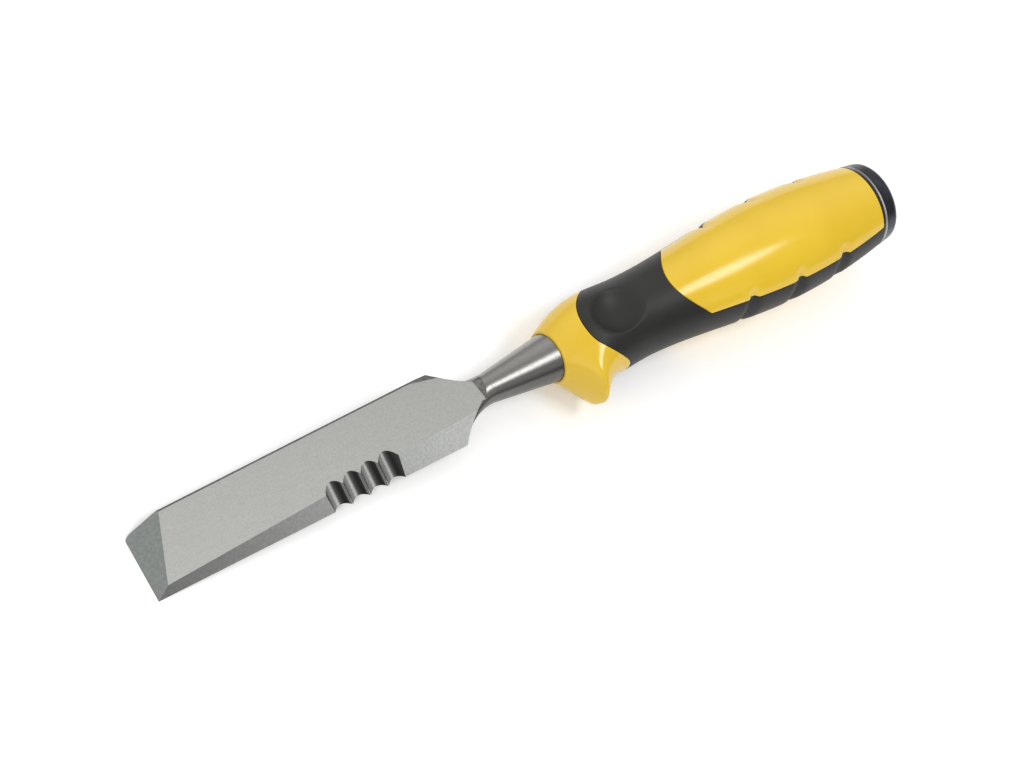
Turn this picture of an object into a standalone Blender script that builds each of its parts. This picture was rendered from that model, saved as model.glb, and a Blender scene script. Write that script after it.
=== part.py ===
"""A side-cutting bench chisel: steel blade with a through tang, hard handle core, soft grip, strike cap.

Metres. +X runs along the tang from the strike face to the cutting tip, +Y points to the serrated
side edge and +Z to the ground face. The origin is where the tang axis meets the strike face.
"""
import math

import bmesh
import bpy
from mathutils import Matrix, Vector

MM = 0.001

# Fits
GAP = 0.3 * MM                    # clearance between pieces that seat on each other
GRIP_THICKNESS = 2.2 * MM         # soft layer over the hard core

# Handle form, measured back from the front lip of the collar
HANDLE_LENGTH = 142.5 * MM        # strike face to collar lip
LIP_WALL = 0.5 * MM               # of the collar round the neck
COLLAR_RADIUS = 14.9 * MM
COLLAR_SETBACK = 20.0 * MM
WAIST_RADIUS = 14.2 * MM
WAIST_SETBACK = 35.6 * MM
BELLY_RADIUS = 18.4 * MM
BELLY_SETBACK = 95.6 * MM
TAIL_RADIUS = 14.65 * MM          # where the handle meets the strike cap
PALM_SHIFT = 1.2 * MM             # the tail leans this far to the finger side

# Finger guard on the collar
GUARD_REACH = 21.8 * MM           # guard tip from the tang axis
GUARD_SETBACK = 8.8 * MM          # guard tip behind the lip
GUARD_END = 21.6 * MM             # where the guard has run out
GUARD_BLUNT = 0.7 * MM            # half the width of the blunt tip
GUARD_FRONT_POWER = 1.4           # hollow of its front
GUARD_REAR_POWER = 1.95           # and of its rear
GUARD_SHARPNESS = 2.6             # power of the cosine that narrows the guard round the collar

# Edges between the hard core and the grip
COLLAR_TOP_EDGE = 9.4 * MM        # grip starts this far behind the lip, above and below
COLLAR_SIDE_EDGE = 23.1 * MM      # and this far behind it at the sides
PANEL_SETBACK = 46.0 * MM         # front of the bare core panels
PANEL_NOSE_RADIUS = 13.9 * MM     # their round front, seen from above
PANEL_EDGE_HEIGHT = 7.7 * MM      # their long edges, above and below the tang axis

# Grip details
DIMPLE_SETBACK = 23.9 * MM        # thumb dimple
DIMPLE_RADIUS = 15.5 * MM
DIMPLE_DEPTH = 3.0 * MM
GROOVE_COUNT = 3
GROOVE_SETBACK = 72.8 * MM        # first groove behind the lip
GROOVE_PITCH = 19.6 * MM
GROOVE_WIDTH = 5.0 * MM
GROOVE_DEPTH = 0.9 * MM           # at the sides of the handle
GROOVE_FADE = 0.4 * MM            # the groove ring clears the top of the handle by this

# Strike cap
CAP_LENGTH = 6.7 * MM
CAP_TAPER = 0.6 * MM              # loss of radius along the cap
CAP_CHAMFER = 0.5 * MM            # front rim
CAP_EDGE_RADIUS = 3.0 * MM        # strike face rim
CAP_SOCKET_DEPTH = 4.0 * MM       # blind hole for the tang end

# Tang and neck
TANG_RADIUS = 4.5 * MM
NECK_RADIUS = 8.4 * MM            # at the collar lip
NECK_THIN_RADIUS = 4.95 * MM
NECK_LENGTH = 27.4 * MM
NECK_SEAT = 2.0 * MM              # the neck sits this deep in the collar
NECK_NEAR_SPREAD = 12.6 * MM      # half width it flares toward on the edge side
NECK_FAR_SPREAD = 8.6 * MM        # and on the spine side
NECK_FLARE_POWER = 2.2            # how late the neck widens into the blade
NECK_DROP_POWER = 2.0             # and how late it flattens
NECK_END_SINK = 0.3 * MM          # its end stays this far inside the flat back

# Blade, measured forward from the collar lip
BLADE_REACH = 164.5 * MM          # lip to the near tip corner
EDGE_OFFSET = 13.4 * MM           # side cutting edge from the tang axis
BACK_DROP = 2.75 * MM             # flat back below the tang axis
FACE_REACH = 30.9 * MM            # the ground face ends here at the neck
FACE_HALF_WIDTH = 3.0 * MM        # and is this wide there, each way
NEAR_SHOULDER = 42.0 * MM
FAR_SHOULDER = 44.8 * MM
SHOULDER_SAG = 1.0 * MM           # hollow of both shoulders
SPINE_THICKNESS = 5.15 * MM       # at the tip, over the foot of the spine
THICKNESS_TAPER = 0.0224          # gain in thickness per length toward the neck
FACE_CROSS_SLOPE = 0.154          # gain in thickness per width toward the spine
SPINE_OFFSET = 9.8 * MM           # foot of the spine flank from the tang axis, at the tip
SPINE_FLARE = math.radians(0.29)  # the blade widens a little toward the tip
SPINE_LEAN = math.radians(20.0)
SPINE_ROUND = 1.9 * MM            # rounded lower edge of the spine
SPINE_CHAMFER = 0.45 * MM         # taken off its upper edge
END_BEVEL = math.radians(25.0)
END_SKEW = math.radians(4.9)
SIDE_BEVEL = math.radians(37.0)
CORNER_FACET_LENGTH = 6.8 * MM    # facet on the far shoulder corner, along the spine
CORNER_FACET_TURN = math.radians(9.2)    # its upper edge against the spine, seen from above
CORNER_FACET_TILT = math.radians(6.0)    # its fall from the level

# Serrations in the side edge
SCALLOP_COUNT = 4
SCALLOP_REACH = 71.0 * MM         # first scallop from the lip
SCALLOP_PITCH = 7.2 * MM
SCALLOP_RADIUS = 6.6 * MM
SCALLOP_DEPTH = 1.8 * MM          # into the edge, along the back
SCALLOP_RISE = math.radians(35.5)
SCALLOP_SKEW = math.radians(8.5)  # their inner ends lean toward the tip

# Facets of the round forms
RING_SIDES = 40                   # round the handle
GUARD_STATIONS = 6                # along each slope of the guard
HANDLE_STATIONS = 16              # along the rest of the handle
TURN_STEPS = 40                   # round the turned pieces
NECK_STATIONS = 8
NOSE_STEPS = 16
TUBE_SIDES = 16                   # of a groove ring
BALL_RINGS = 24
SCALLOP_SIDES = 72
SPINE_CUTS = 4
SHARP_ANGLE = math.radians(32.0)  # edges above this stay crisp

# How far cutters run past the piece they cut
FAR = 40.0 * MM
OVERRUN = 2.0 * MM
SKIM = 0.02 * MM                  # the neck stays this far under the ground face

TAIL_X = CAP_LENGTH + GAP         # rear end of the core and the grip
LIP_RADIUS = NECK_RADIUS + GAP + LIP_WALL
TIP_X = HANDLE_LENGTH + BLADE_REACH


def clear_scene():
    for thing in list(bpy.data.objects):
        bpy.data.objects.remove(thing, do_unlink=True)


def new_collection(name):
    group = bpy.data.collections.new(name)
    bpy.context.scene.collection.children.link(group)
    return group


def finish(name, colour, roughness, metallic):
    surface = bpy.data.materials.new(name)
    surface.use_nodes = True
    shader = surface.node_tree.nodes["Principled BSDF"]
    shader.inputs["Base Color"].default_value = (*colour, 1.0)
    shader.inputs["Roughness"].default_value = roughness
    shader.inputs["Metallic"].default_value = metallic
    return surface


def object_from(bm, name, group):
    mesh = bpy.data.meshes.new(name)
    bm.to_mesh(mesh)
    bm.free()
    mesh.shade_smooth()
    mesh.set_sharp_from_angle(angle=SHARP_ANGLE)
    thing = bpy.data.objects.new(name, mesh)
    group.objects.link(thing)
    return thing


def make_cutter(thing):
    thing.hide_render = True
    thing.display_type = 'WIRE'
    return thing


def combine(target, other, operation):
    step = target.modifiers.new(operation.lower() + "_" + other.name, 'BOOLEAN')
    step.operation = operation
    step.object = other
    step.solver = 'EXACT'


def loft(rings):
    """A closed skin through rings of equal point counts, with flat ends."""
    bm = bmesh.new()
    rows = [[bm.verts.new(point) for point in ring] for ring in rings]
    for row, following in zip(rows, rows[1:]):
        for i, corner in enumerate(row):
            j = (i + 1) % len(row)
            bm.faces.new((corner, row[j], following[j], following[i]))
    bm.faces.new(rows[0])
    bm.faces.new(rows[-1])
    bmesh.ops.recalc_face_normals(bm, faces=bm.faces)
    return bm


def prism(outline, low, high):
    """An outline in X and Y filled and pulled from one height to another, as a welded mesh."""
    flat = bpy.data.curves.new("outline", 'CURVE')
    flat.dimensions = '2D'
    flat.fill_mode = 'BOTH'
    flat.extrude = (high - low) / 2
    spline = flat.splines.new('POLY')
    spline.points.add(len(outline) - 1)
    for point, (x, y) in zip(spline.points, outline):
        point.co = (x, y, 0.0, 1.0)
    spline.use_cyclic_u = True
    guide = bpy.data.objects.new("outline", flat)
    bpy.context.scene.collection.objects.link(guide)
    evaluated = guide.evaluated_get(bpy.context.evaluated_depsgraph_get())
    mesh = bpy.data.meshes.new_from_object(evaluated)
    bm = bmesh.new()
    bm.from_mesh(mesh)
    bmesh.ops.remove_doubles(bm, verts=bm.verts, dist=1e-6)
    bmesh.ops.translate(bm, verts=bm.verts, vec=(0.0, 0.0, (low + high) / 2))
    bmesh.ops.recalc_face_normals(bm, faces=bm.faces)
    bpy.data.objects.remove(guide, do_unlink=True)
    bpy.data.meshes.remove(mesh)
    return bm


def bar(start, end, start_radius, end_radius):
    """A round bar or cone along X on the tang axis."""
    place = Matrix.Translation(((start + end) / 2, 0.0, 0.0)) @ Matrix.Rotation(math.pi / 2, 4, 'Y')
    bm = bmesh.new()
    bmesh.ops.create_cone(bm, cap_ends=True, segments=TURN_STEPS, radius1=start_radius,
                          radius2=end_radius, depth=end - start, matrix=place)
    return bm


def shave(bm, point, normal):
    """Grind away everything on the side of a plane that its normal points to."""
    everything = bm.verts[:] + bm.edges[:] + bm.faces[:]
    bmesh.ops.bisect_plane(bm, geom=everything, dist=1e-8, plane_co=point, plane_no=normal,
                           clear_outer=True)
    rim = [edge for edge in bm.edges if edge.is_boundary]
    bmesh.ops.holes_fill(bm, edges=rim, sides=0)


def ease(start, end, share):
    return start + (end - start) * share * share * (3.0 - 2.0 * share)


def spread(start, end, count):
    """Evenly spaced values from start, leaving out the end."""
    return [start + (end - start) * i / count for i in range(count)]


def handle_radius(setback):
    """Radius of the handle at a distance behind the collar lip, without the guard."""
    if setback < COLLAR_SETBACK:
        share = 1.0 - setback / COLLAR_SETBACK
        return LIP_RADIUS + (COLLAR_RADIUS - LIP_RADIUS) * (1.0 - share * share)
    if setback < WAIST_SETBACK:
        share = (setback - COLLAR_SETBACK) / (WAIST_SETBACK - COLLAR_SETBACK)
        return ease(COLLAR_RADIUS, WAIST_RADIUS, share)
    if setback < BELLY_SETBACK:
        share = (setback - WAIST_SETBACK) / (BELLY_SETBACK - WAIST_SETBACK)
        return ease(WAIST_RADIUS, BELLY_RADIUS, share)
    share = (setback - BELLY_SETBACK) / (HANDLE_LENGTH - TAIL_X - BELLY_SETBACK)
    return BELLY_RADIUS - (BELLY_RADIUS - TAIL_RADIUS) * share * share


def handle_lean(setback):
    """How far the handle's centre lies to the finger side."""
    share = (setback - WAIST_SETBACK) / (HANDLE_LENGTH - TAIL_X - WAIST_SETBACK)
    return PALM_SHIFT * max(share, 0.0)


def guard_height(setback):
    """How far the finger guard stands out of the collar on the finger side."""
    full = GUARD_REACH - handle_radius(GUARD_SETBACK)
    if setback <= GUARD_SETBACK:
        return full * (setback / GUARD_SETBACK) ** GUARD_FRONT_POWER
    share = max(GUARD_END - setback, 0.0) / (GUARD_END - GUARD_SETBACK)
    return full * share ** GUARD_REAR_POWER


def handle_ring(setback, inset, with_guard):
    radius = handle_radius(setback) - inset
    lean = handle_lean(setback)
    height = guard_height(setback) if with_guard else 0.0
    ring = []
    for i in range(RING_SIDES):
        turn = 2.0 * math.pi * i / RING_SIDES
        reach = radius + height * max(math.cos(turn), 0.0) ** GUARD_SHARPNESS
        ring.append((HANDLE_LENGTH - setback, lean + reach * math.cos(turn), reach * math.sin(turn)))
    return ring


def handle_form(inset, first, overrun, with_guard):
    """The handle's round form from a setback to past its tail, shrunk by an inset."""
    last = HANDLE_LENGTH - TAIL_X
    tip_front = GUARD_SETBACK - GUARD_BLUNT
    tip_rear = GUARD_SETBACK + GUARD_BLUNT
    stations = spread(0.0, tip_front, GUARD_STATIONS) + [tip_front]
    stations += spread(tip_rear, GUARD_END, GUARD_STATIONS)
    stations += spread(GUARD_END, last, HANDLE_STATIONS) + [last + overrun]
    stations = [first] + [setback for setback in stations if setback > first]
    return loft([handle_ring(setback, inset, with_guard) for setback in stations])


def collar_outline(shift):
    """Plan view of the space in front of the edge where the grip starts."""
    half = COLLAR_RADIUS
    edge = []
    for i in range(NOSE_STEPS + 1):
        y = half * (2.0 * i / NOSE_STEPS - 1.0)
        setback = COLLAR_TOP_EDGE + (COLLAR_SIDE_EDGE - COLLAR_TOP_EDGE) * (y / half) ** 2
        edge.append((HANDLE_LENGTH - setback - shift, y))
    side_x = HANDLE_LENGTH - COLLAR_SIDE_EDGE - shift
    front_x = HANDLE_LENGTH + FAR
    return [(front_x, -FAR), (side_x, -FAR)] + edge + [(side_x, FAR), (front_x, FAR)]


def panel_outline(shift):
    """Plan view of a bare panel: a round nose, then the full width back past the tail."""
    centre_x = HANDLE_LENGTH - PANEL_SETBACK - PANEL_NOSE_RADIUS
    radius = PANEL_NOSE_RADIUS - shift
    nose = []
    for i in range(NOSE_STEPS + 1):
        turn = math.pi * (i / NOSE_STEPS - 0.5)
        nose.append((centre_x + radius * math.cos(turn), radius * math.sin(turn)))
    return [(-FAR, -FAR), (centre_x, -FAR)] + nose + [(centre_x, FAR), (-FAR, FAR)]


def panel_space(shift, below):
    """The room over a bare panel, turned over for the panel below."""
    bm = prism(panel_outline(shift), PANEL_EDGE_HEIGHT + shift, FAR)
    if below:
        bmesh.ops.rotate(bm, verts=bm.verts, cent=(0.0, 0.0, 0.0),
                         matrix=Matrix.Rotation(math.pi, 3, 'X'))
    return bm


def dimple_ball(growth):
    """Ball that presses the thumb dimple, larger where it shapes the core under the grip."""
    height = handle_radius(DIMPLE_SETBACK) - DIMPLE_DEPTH + DIMPLE_RADIUS
    bm = bmesh.new()
    bmesh.ops.create_uvsphere(bm, u_segments=RING_SIDES, v_segments=BALL_RINGS,
                              radius=DIMPLE_RADIUS + growth,
                              matrix=Matrix.Translation((HANDLE_LENGTH - DIMPLE_SETBACK, 0.0, height)))
    return bm


def groove_rings(group):
    """Rings that press the side grooves and fade out toward the top and the bottom."""
    half = GROOVE_WIDTH / 2
    thick = (half ** 2 + GROOVE_DEPTH ** 2) / (2 * GROOVE_DEPTH)
    rings = []
    for i in range(GROOVE_COUNT):
        setback = GROOVE_SETBACK + i * GROOVE_PITCH
        centre = handle_radius(setback) + thick
        bpy.ops.mesh.primitive_torus_add(major_segments=RING_SIDES, minor_segments=TUBE_SIDES,
                                         major_radius=centre, minor_radius=thick,
                                         location=(HANDLE_LENGTH - setback, handle_lean(setback), 0.0),
                                         rotation=(0.0, math.pi / 2, 0.0))
        ring = bpy.context.object
        ring.name = "groove_ring_%d" % (i + 1)
        ring.scale = ((centre + GROOVE_FADE) / centre, (centre - GROOVE_DEPTH) / centre, 1.0)
        for old in ring.users_collection:
            old.objects.unlink(ring)
        group.objects.link(ring)
        rings.append(make_cutter(ring))
    return rings


def box_behind(x):
    """Everything behind a station, to trim the handle's tail flat."""
    bm = bmesh.new()
    bmesh.ops.create_cube(bm, size=2 * FAR, matrix=Matrix.Translation((x - FAR, 0.0, 0.0)))
    return bm


def build_core(parts, cutters, grooves):
    """Hard plastic: a full-size collar and two bare panels on a body sunk under the grip."""
    core = object_from(handle_form(GRIP_THICKNESS + GAP, NECK_SEAT + OVERRUN, OVERRUN, False),
                       "handle_core", parts)
    shells = [("collar_shell", prism(collar_outline(0.0), -FAR, FAR)),
              ("top_panel_shell", panel_space(GAP, False)),
              ("bottom_panel_shell", panel_space(GAP, True))]
    for name, space in shells:
        shell = make_cutter(object_from(handle_form(0.0, 0.0, 2 * OVERRUN, True), name, cutters))
        room = make_cutter(object_from(space, name + "_room", cutters))
        combine(shell, room, 'INTERSECT')
        combine(core, shell, 'UNION')
    seat = NECK_SEAT + GAP
    socket = bar(HANDLE_LENGTH - seat, HANDLE_LENGTH + OVERRUN,
                 neck_radius(-seat) + GAP, neck_radius(OVERRUN) + GAP)
    tang_hole = bar(-FAR, HANDLE_LENGTH + FAR, TANG_RADIUS + GAP, TANG_RADIUS + GAP)
    cuts = [("core_tail_trim", box_behind(TAIL_X)),
            ("tang_hole", tang_hole),
            ("neck_socket", socket),
            ("core_dimple", dimple_ball(GRIP_THICKNESS + GAP))]
    for name, bm in cuts:
        combine(core, make_cutter(object_from(bm, name, cutters)), 'DIFFERENCE')
    for ring in grooves:
        combine(core, ring, 'DIFFERENCE')
    core.data.materials.append(finish("yellow_plastic", (0.83, 0.55, 0.03), 0.25, 0.0))


def build_grip(parts, cutters, grooves):
    """Soft sleeve of even thickness over the core, open over the two bare panels."""
    grip = object_from(handle_form(0.0, 0.0, OVERRUN, True), "rubber_grip", parts)
    inside = object_from(handle_form(GRIP_THICKNESS, -OVERRUN, 2 * OVERRUN, False), "grip_inside", cutters)
    thumb = object_from(dimple_ball(GRIP_THICKNESS), "grip_inside_dimple", cutters)
    combine(make_cutter(inside), make_cutter(thumb), 'DIFFERENCE')
    combine(grip, inside, 'DIFFERENCE')
    cuts = [("grip_front", prism(collar_outline(GAP), -FAR, FAR)),
            ("grip_top_window", panel_space(0.0, False)),
            ("grip_bottom_window", panel_space(0.0, True)),
            ("grip_tail_trim", box_behind(TAIL_X)),
            ("grip_dimple", dimple_ball(0.0))]
    for name, bm in cuts:
        combine(grip, make_cutter(object_from(bm, name, cutters)), 'DIFFERENCE')
    for ring in grooves:
        combine(grip, ring, 'DIFFERENCE')
    grip.data.materials.append(finish("black_rubber", (0.03, 0.03, 0.03), 0.65, 0.0))


def build_cap(parts, cutters):
    """A turned steel button: tapered side, rounded strike face, blind hole for the tang."""
    rim = TAIL_RADIUS
    face = rim - CAP_TAPER
    profile = [(0.0, CAP_LENGTH), (rim - CAP_CHAMFER, CAP_LENGTH), (rim, CAP_LENGTH - CAP_CHAMFER)]
    steps = NOSE_STEPS // 2
    for i in range(steps + 1):
        turn = math.pi / 2 * i / steps
        profile.append((face - CAP_EDGE_RADIUS * (1.0 - math.cos(turn)),
                        CAP_EDGE_RADIUS * (1.0 - math.sin(turn))))
    profile.append((0.0, 0.0))
    mesh = bpy.data.meshes.new("strike_cap")
    mesh.from_pydata([(radius, 0.0, height) for radius, height in profile],
                     [(i, i + 1) for i in range(len(profile) - 1)], [])
    cap = bpy.data.objects.new("strike_cap", mesh)
    parts.objects.link(cap)
    cap.rotation_euler = (0.0, math.pi / 2, 0.0)
    cap.location = (0.0, PALM_SHIFT, 0.0)
    turned = cap.modifiers.new("turned", 'SCREW')
    turned.axis = 'Z'
    turned.steps = TURN_STEPS
    turned.render_steps = TURN_STEPS
    turned.use_merge_vertices = True
    turned.merge_threshold = 1e-6
    hole = bar(CAP_LENGTH - CAP_SOCKET_DEPTH, CAP_LENGTH + FAR, TANG_RADIUS + GAP, TANG_RADIUS + GAP)
    combine(cap, make_cutter(object_from(hole, "cap_socket", cutters)), 'DIFFERENCE')
    mesh.materials.append(finish("dark_steel", (0.06, 0.065, 0.08), 0.35, 1.0))


def neck_radius(reach):
    """Radius of the conical neck at a distance in front of the collar lip."""
    return NECK_RADIUS + (NECK_THIN_RADIUS - NECK_RADIUS) * reach / NECK_LENGTH


def face_height(x, y):
    """Height of the ground face over the tang axis."""
    gain = THICKNESS_TAPER * (TIP_X - x) - FACE_CROSS_SLOPE * (y + SPINE_OFFSET)
    return SPINE_THICKNESS - BACK_DROP + gain


def spine_top(x):
    """Where the spine flank meets the ground face at a station."""
    foot_y = (TIP_X - x) * math.tan(SPINE_FLARE) - SPINE_OFFSET
    over_foot = face_height(x, foot_y) + BACK_DROP
    rise = over_foot / (1.0 - FACE_CROSS_SLOPE * math.tan(SPINE_LEAN))
    return Vector((x, foot_y - rise * math.tan(SPINE_LEAN), rise - BACK_DROP))


def neck_form():
    """The cone, flattening and widening where it runs into the blade."""
    seat_radius = neck_radius(-NECK_SEAT)
    sections = [(-NECK_SEAT, 0.0, seat_radius, seat_radius)]
    for i in range(NECK_STATIONS):
        share = i / NECK_STATIONS
        reach = NECK_LENGTH + (NEAR_SHOULDER - NECK_LENGTH) * share
        flare = share ** NECK_FLARE_POWER
        tall = NECK_THIN_RADIUS * (1.0 - share ** NECK_DROP_POWER)
        fall = i / (NECK_STATIONS - 1)
        low = NECK_THIN_RADIUS + (BACK_DROP - NECK_END_SINK - NECK_THIN_RADIUS) * fall * fall
        sections.append((reach, flare, tall, low))
    rings = []
    for reach, flare, tall, low in sections:
        root = neck_radius(min(reach, NECK_LENGTH))
        ring = []
        for i in range(TURN_STEPS):
            turn = 2.0 * math.pi * i / TURN_STEPS
            target = NECK_NEAR_SPREAD if math.cos(turn) > 0.0 else NECK_FAR_SPREAD
            wide = root + (target - root) * flare
            height = tall * (1.0 + math.sin(turn)) - low
            ring.append((HANDLE_LENGTH + reach, wide * math.cos(turn), height))
        rings.append(ring)
    return loft(rings)


def block_over_face():
    """Block over the ground face that trims the neck down to it."""
    length = BLADE_REACH - FACE_REACH + FAR
    bm = bmesh.new()
    bmesh.ops.create_cube(bm, size=1.0)
    for vertex in bm.verts:
        x = HANDLE_LENGTH + FACE_REACH + (vertex.co.x + 0.5) * length
        y = vertex.co.y * FAR
        z = face_height(x, y) - SKIM if vertex.co.z < 0 else FAR
        vertex.co = (x, y, z)
    return bm


def hollow_edge(start, end, sag):
    """Points from start to end along an arc that sags to the left of the way."""
    way = end - start
    left = Vector((-way.y, way.x)).normalized()
    steps = NOSE_STEPS // 2
    points = []
    for i in range(steps + 1):
        share = i / steps
        points.append(tuple(start + way * share + left * sag * 4.0 * share * (1.0 - share)))
    return points


def plate_outline():
    """Plan view of the flat blade, from its end at the neck to past the tip."""
    face_x = HANDLE_LENGTH + FACE_REACH
    far_root = Vector((face_x, -FACE_HALF_WIDTH))
    far_corner = spine_top(HANDLE_LENGTH + FAR_SHOULDER).to_2d()
    far_end = far_corner + (far_corner - far_root).normalized() * OVERRUN
    near_corner = Vector((HANDLE_LENGTH + NEAR_SHOULDER, EDGE_OFFSET))
    near_root = Vector((face_x, FACE_HALF_WIDTH))
    far_edge = hollow_edge(far_root, far_end, SHOULDER_SAG)
    near_edge = hollow_edge(near_corner, near_root, SHOULDER_SAG)
    beyond_x = TIP_X + FAR
    return far_edge + [(far_end.x, -FAR), (beyond_x, -FAR), (beyond_x, EDGE_OFFSET)] + near_edge


def round_lower_spine(bm, foot, outward):
    """Tangent cuts that round the lower edge of the spine."""
    turn = math.pi / 2 - SPINE_LEAN
    centre = foot - outward * SPINE_ROUND * math.tan(turn / 2)
    centre.z += SPINE_ROUND
    for i in range(1, SPINE_CUTS):
        lean = turn * i / SPINE_CUTS
        normal = outward * math.sin(lean) - Vector((0.0, 0.0, math.cos(lean)))
        shave(bm, centre + normal * SPINE_ROUND, normal)


def blade_plate():
    """The flat blade, ground plane by plane."""
    bm = prism(plate_outline(), -BACK_DROP, FAR)
    up = Vector((0.0, 0.0, 1.0))
    foot = Vector((TIP_X, -SPINE_OFFSET, -BACK_DROP))
    corner = Vector((TIP_X, EDGE_OFFSET, -BACK_DROP))
    face = Vector((THICKNESS_TAPER, FACE_CROSS_SLOPE, 1.0)).normalized()
    ahead = Vector((math.cos(END_SKEW), -math.sin(END_SKEW), 0.0))
    outward = Vector((-math.sin(SPINE_FLARE), -math.cos(SPINE_FLARE), 0.0))
    flank = outward * math.cos(SPINE_LEAN) - up * math.sin(SPINE_LEAN)
    shave(bm, foot + up * SPINE_THICKNESS, face)
    shave(bm, corner, ahead * math.sin(END_BEVEL) + up * math.cos(END_BEVEL))
    shave(bm, corner, (0.0, math.sin(SIDE_BEVEL), math.cos(SIDE_BEVEL)))
    shave(bm, foot, flank)
    round_lower_spine(bm, foot, outward)
    upper = (face + flank).normalized()
    shave(bm, spine_top(TIP_X) - upper * SPINE_CHAMFER, upper)
    facet_start = spine_top(HANDLE_LENGTH + FAR_SHOULDER + CORNER_FACET_LENGTH)
    across = Vector((-math.sin(CORNER_FACET_TURN), -math.cos(CORNER_FACET_TURN), 0.0))
    shave(bm, facet_start, across * math.sin(CORNER_FACET_TILT) + up * math.cos(CORNER_FACET_TILT))
    return bm


def scallop_cutters(group):
    """Round bars along the fall of the side bevel, one for each serration."""
    inward = Vector((math.sin(SCALLOP_SKEW), -math.cos(SCALLOP_SKEW), 0.0))
    up = Vector((0.0, 0.0, 1.0))
    along = inward * math.cos(SCALLOP_RISE) + up * math.sin(SCALLOP_RISE)
    out = up * math.cos(SCALLOP_RISE) - inward * math.sin(SCALLOP_RISE)
    turn = along.to_track_quat('Z', 'X').to_matrix().to_4x4()
    bars = []
    for i in range(SCALLOP_COUNT):
        x = HANDLE_LENGTH + SCALLOP_REACH + i * SCALLOP_PITCH
        floor = Vector((x, EDGE_OFFSET - SCALLOP_DEPTH, -BACK_DROP))
        bm = bmesh.new()
        bmesh.ops.create_cone(bm, cap_ends=True, segments=SCALLOP_SIDES, radius1=SCALLOP_RADIUS,
                              radius2=SCALLOP_RADIUS, depth=2 * FAR,
                              matrix=Matrix.Translation(floor + out * SCALLOP_RADIUS) @ turn)
        bars.append(make_cutter(object_from(bm, "scallop_%d" % (i + 1), group)))
    return bars


def build_blade(parts, cutters):
    """One forging: through tang, conical neck and ground blade."""
    blade = object_from(neck_form(), "blade", parts)
    combine(blade, make_cutter(object_from(block_over_face(), "neck_trim", cutters)), 'DIFFERENCE')
    tang_end = CAP_LENGTH - CAP_SOCKET_DEPTH + GAP
    additions = [("blade_plate", blade_plate()),
                 ("tang", bar(tang_end, HANDLE_LENGTH, TANG_RADIUS, TANG_RADIUS))]
    for name, bm in additions:
        combine(blade, make_cutter(object_from(bm, name, cutters)), 'UNION')
    for scallop in scallop_cutters(cutters):
        combine(blade, scallop, 'DIFFERENCE')
    blade.data.materials.append(finish("ground_steel", (0.55, 0.56, 0.54), 0.35, 1.0))


def main():
    clear_scene()
    parts = new_collection("side_cutting_chisel")
    cutters = new_collection("cutters")
    grooves = groove_rings(cutters)
    build_blade(parts, cutters)
    build_core(parts, cutters, grooves)
    build_grip(parts, cutters, grooves)
    build_cap(parts, cutters)


main()
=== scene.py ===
import math

import bpy
import numpy as np
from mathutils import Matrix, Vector


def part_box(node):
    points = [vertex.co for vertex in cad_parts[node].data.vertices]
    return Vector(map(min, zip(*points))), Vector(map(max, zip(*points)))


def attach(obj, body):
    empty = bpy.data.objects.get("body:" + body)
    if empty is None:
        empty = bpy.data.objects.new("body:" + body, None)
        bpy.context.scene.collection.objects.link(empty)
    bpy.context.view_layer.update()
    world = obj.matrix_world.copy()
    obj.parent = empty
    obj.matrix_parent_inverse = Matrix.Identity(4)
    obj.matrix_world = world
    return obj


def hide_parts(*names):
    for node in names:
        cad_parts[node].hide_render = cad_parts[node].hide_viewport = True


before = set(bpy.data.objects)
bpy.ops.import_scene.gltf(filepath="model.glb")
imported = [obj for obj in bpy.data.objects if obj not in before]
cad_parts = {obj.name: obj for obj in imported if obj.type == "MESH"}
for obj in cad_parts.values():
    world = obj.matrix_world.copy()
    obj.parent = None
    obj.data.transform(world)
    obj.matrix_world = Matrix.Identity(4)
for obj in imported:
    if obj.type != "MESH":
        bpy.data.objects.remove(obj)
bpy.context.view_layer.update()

mm = 0.001
up = Vector((0, 0, 1))
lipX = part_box("handle_core")[1].x   # front lip of the collar
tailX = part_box("rubber_grip")[0].x  # rear end of the grip
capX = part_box("strike_cap")[1].x    # front of the strike cap
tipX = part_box("blade")[1].x         # cutting end
seam = 0.3 * mm                     # parting gap between the two plastics
fit = 0.12 * mm                     # gap round the forging in its holes
touch = 0.01 * mm                   # how near counts as being on a plane
weld = 0.001 * mm                   # merge distance of the plain meshes
print("frame loaded, tip at", round(tipX / mm, 1), "mm")


def pickOnly(piece):
    if bpy.context.mode != 'OBJECT':
        bpy.ops.object.mode_set(mode='OBJECT')
    bpy.ops.object.select_all(action='DESELECT')
    piece.select_set(True)
    bpy.context.view_layer.objects.active = piece


def editOn(piece):
    pickOnly(piece)
    bpy.ops.object.mode_set(mode='EDIT')


def editOff():
    bpy.ops.object.mode_set(mode='OBJECT')


def settle(piece, name):  # place, turn and size go into the mesh
    pickOnly(piece)
    bpy.ops.object.transform_apply(location=True, rotation=True, scale=True)
    piece.name = name
    return piece


def pickFaces(piece, test):  # edit mode with only the faces whose middle and normal pass
    pickOnly(piece)
    mesh = piece.data
    for part in (mesh.vertices, mesh.edges):
        part.foreach_set("select", np.zeros(len(part), dtype=bool))
    for face in mesh.polygons:
        face.select = test(face.center, face.normal)
    bpy.context.tool_settings.mesh_select_mode = (False, False, True)
    bpy.ops.object.mode_set(mode='EDIT')


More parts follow.
